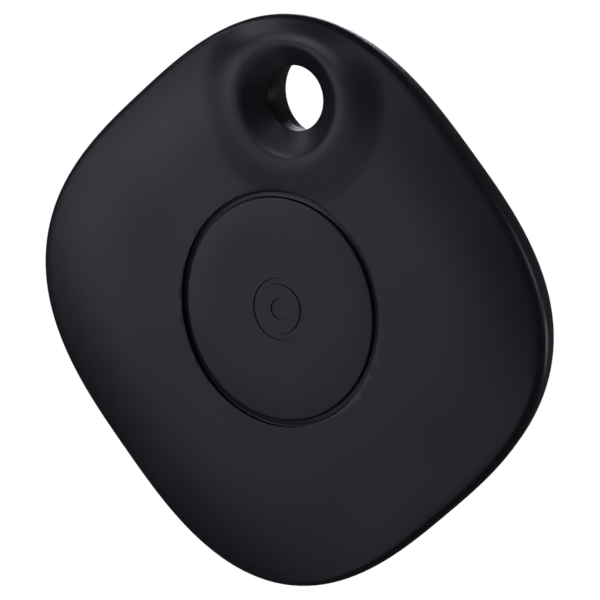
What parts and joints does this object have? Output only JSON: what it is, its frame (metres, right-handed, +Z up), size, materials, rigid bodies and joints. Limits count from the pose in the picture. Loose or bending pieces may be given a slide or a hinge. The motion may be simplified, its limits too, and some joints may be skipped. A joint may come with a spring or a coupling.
{
  "type": "bluetooth tracker tag",
  "caption": "Rounded-diamond keyring tracker tag with a lanyard hole, a round press button and a clip-fit rear cover over a coin cell.",
  "frame": {"origin": "axis of the lanyard hole at the seam between the shells", "axes": "+Z up towards the hole, -Y out of the front face, +X across; the tag hangs upright"},
  "size_m": [0.0444, 0.0104, 0.0424],
  "materials": {
    "housing_plastic": "fine matte texture, charcoal",
    "button_plastic": "fine matte, charcoal",
    "web_rubber": "satin black silicone",
    "seal_rubber": "soft black silicone",
    "board": "green solder mask",
    "chip_epoxy": "moulded black epoxy",
    "ceramic_part": "glazed ceramic",
    "steel_bright": "brushed nickel-plated steel",
    "tinned_metal": "tinned ends and cans",
    "brass_plate": "bright brass sheet",
    "white_ceramic": "silvered ceramic",
    "adhesive": "black foam tape",
    "frame_plastic": "moulded dark grey",
    "screw_steel": "dark zinc-plated steel",
    "contact_metal": "gold-flashed spring strip",
    "foam": "closed-cell foam",
    "grommet": "moulded grommet"
  },
  "bodies": {
    "housing": {"front_shell": "housing_plastic", "cover_seal": "seal_rubber", "button_flex_ring": "web_rubber", "switch_base": "chip_epoxy", "switch_dome": "steel_bright", "circuit_board": "board", "radio_chip": "chip_epoxy", "chip_antenna": "ceramic_part", "sounder_driver": "chip_epoxy", "crystals": "tinned_metal", "capacitors": "ceramic_part", "piezo_adhesive": "adhesive", "piezo_plate": "brass_plate", "piezo_ceramic": "white_ceramic", "inner_frame": "frame_plastic", "frame_screws": "screw_steel", "negative_contact": "contact_metal", "positive_contact": "contact_metal"},
    "button": {"button_cap": "button_plastic", "button_plunger": "web_rubber"},
    "cover": {"rear_cover": "housing_plastic", "cell_pad": "foam"},
    "cell": {"coin_cell_can": "steel_bright", "coin_cell_seal": "grommet", "coin_cell_core": "steel_bright"}
  },
  "joints": [
    {"name": "button_press", "type": "slide", "parent": "housing", "child": "button", "axis": [0, 1, 0], "range_m": [0, 0.00025], "stiffness_N_per_m": 4000, "deforming": ["switch_dome"]},
    {"name": "cover_release", "type": "slide", "parent": "housing", "child": "cover", "axis": [0, 1, 0], "range_m": [0, 0.024]},
    {"name": "cell_release", "type": "slide", "parent": "housing", "child": "cell", "axis": [0, 1, 0], "range_m": [0, 0.0102]}
  ],
  "couplings": [
    {"joint": "cell_release", "follows": "cover_release", "ratio": 0.42}
  ]
}
